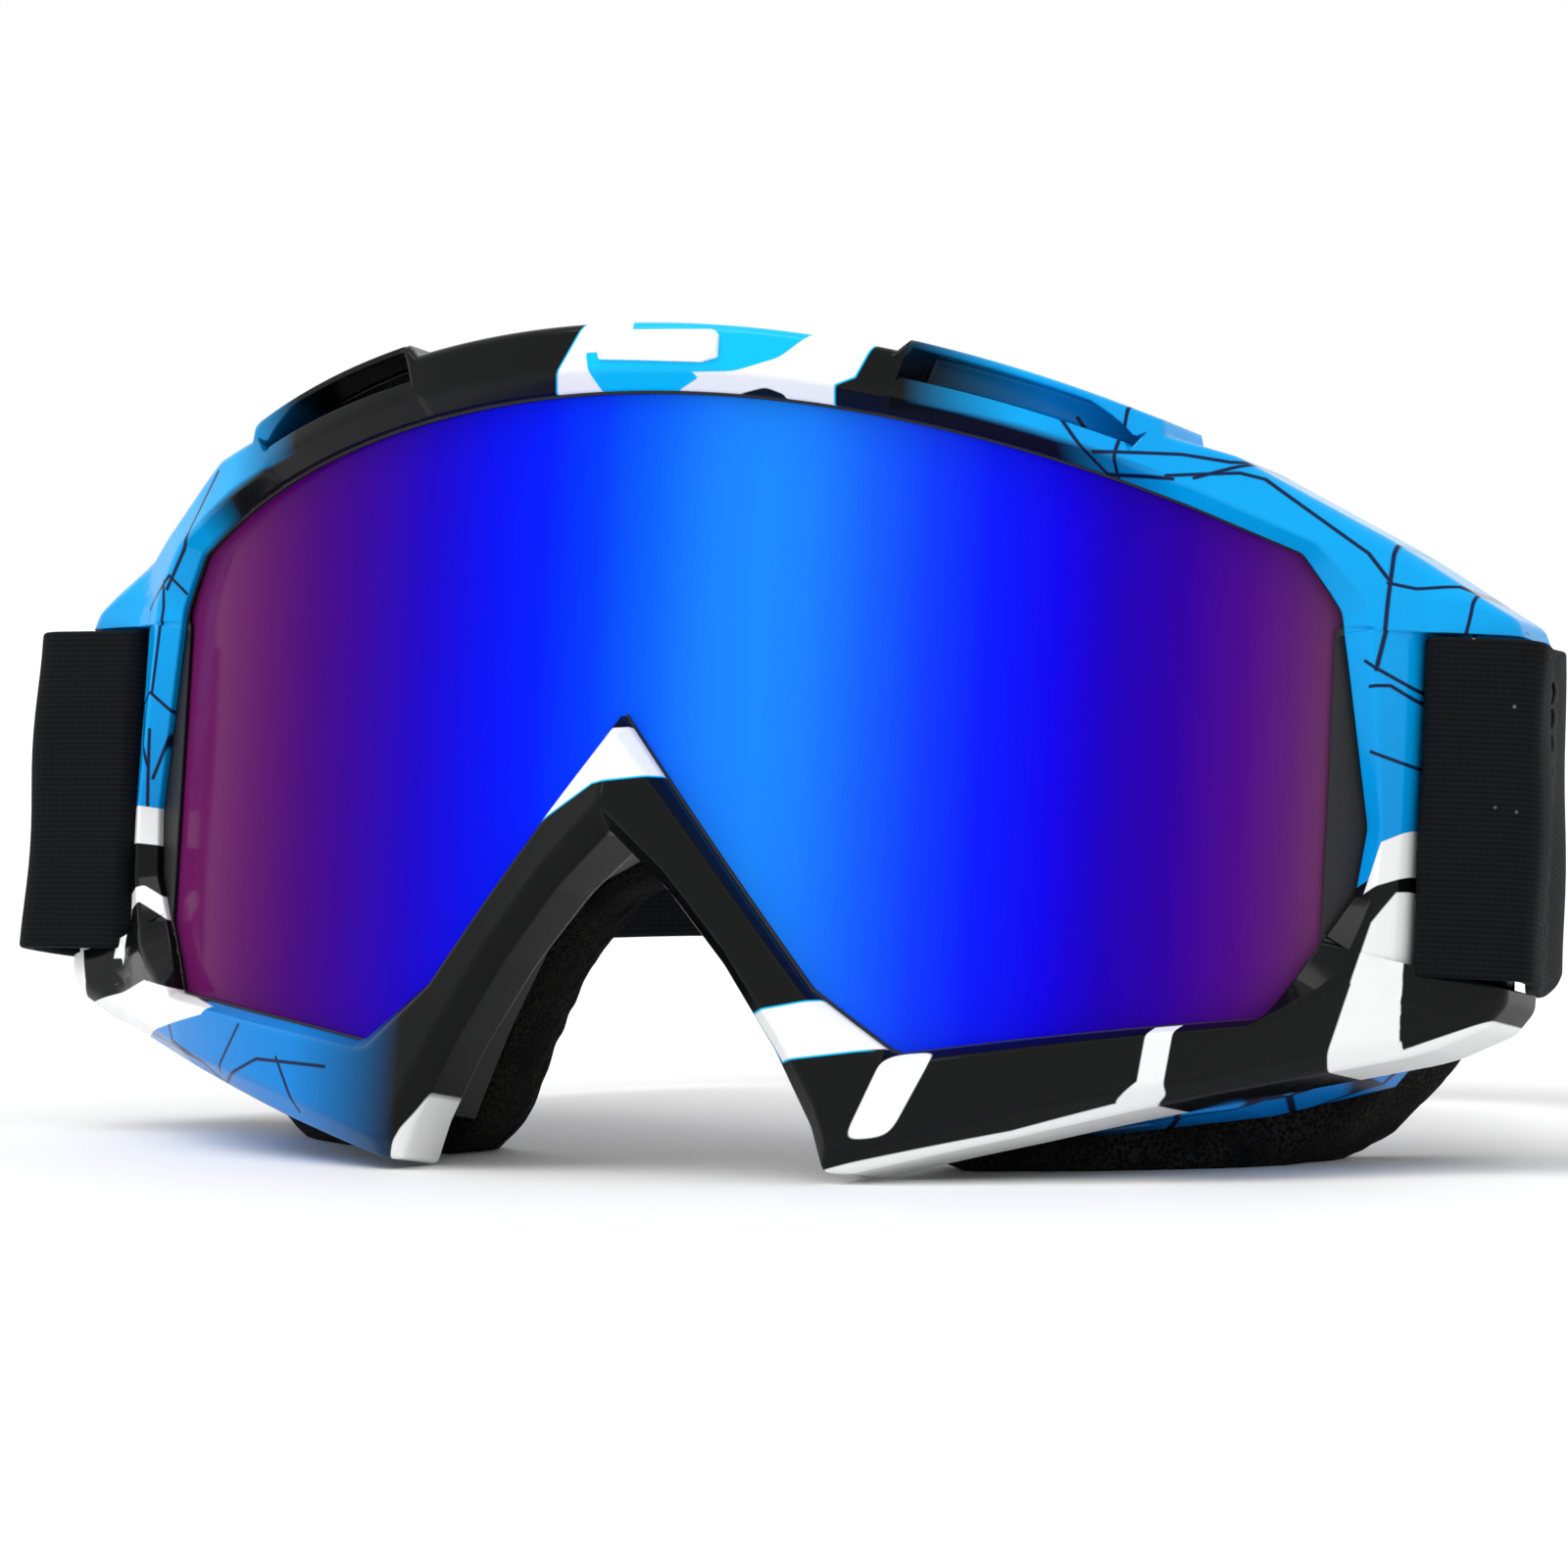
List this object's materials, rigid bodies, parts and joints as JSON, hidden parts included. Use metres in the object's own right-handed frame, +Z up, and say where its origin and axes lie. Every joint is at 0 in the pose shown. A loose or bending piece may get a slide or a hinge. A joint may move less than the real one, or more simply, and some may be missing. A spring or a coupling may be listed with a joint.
{
  "type": "motorcycle goggles",
  "caption": "Wrap-around motorcycle goggles: curved mirrored lens in a glossy printed frame, face foam, vents, and an elastic head strap looped on side bars with a slider.",
  "frame": {"origin": "middle of the outer box, on the surface the goggles stand on", "axes": "+X to the right seen from the front (the wearer's left), +Y from the lens back to the strap, +Z up"},
  "size_m": [0.1856, 0.1608, 0.095],
  "materials": {
    "printed_frame": "gloss film print in blue, black and white",
    "blue_frame": "gloss",
    "mirror_lens": "iridescent blue to violet mirror coat",
    "black_rubber": "satin",
    "white_badge": "gloss",
    "adhesive": "matte",
    "black_foam": "open-cell sponge",
    "vent_foam": "open-cell sponge",
    "elastic": "woven elastic",
    "thread": "twisted thread",
    "black_plastic": "fine moulded texture"
  },
  "bodies": {
    "frame": {"front_frame": "printed_frame", "rear_frame": "blue_frame", "lens": "mirror_lens", "lens_gasket": "black_rubber", "brow_badge": "white_badge", "foam_adhesive": "adhesive", "face_foam": "black_foam", "vent_foam_top_left": "vent_foam", "vent_foam_top_right": "vent_foam", "vent_foam_bottom_left": "vent_foam", "vent_foam_bottom_right": "vent_foam", "strap_loop_left": "elastic", "strap_loop_right": "elastic", "loop_stitching_left": "thread", "loop_stitching_right": "thread"},
    "strap": {"strap_band": "elastic", "strap_tail": "elastic", "tail_stitching": "thread"},
    "slider": {"strap_slider": "black_plastic"}
  },
  "joints": [
    {"name": "strap_tilt", "type": "hinge", "parent": "frame", "child": "strap", "pos_m": [0, -0.03158, 0.04019], "axis": [1, 0, 0], "range_deg": [-9, 25]},
    {"name": "slider_slide", "type": "slide", "parent": "strap", "child": "slider", "axis": [1, 0, 0], "range_m": [-0.02, 0.02]}
  ]
}
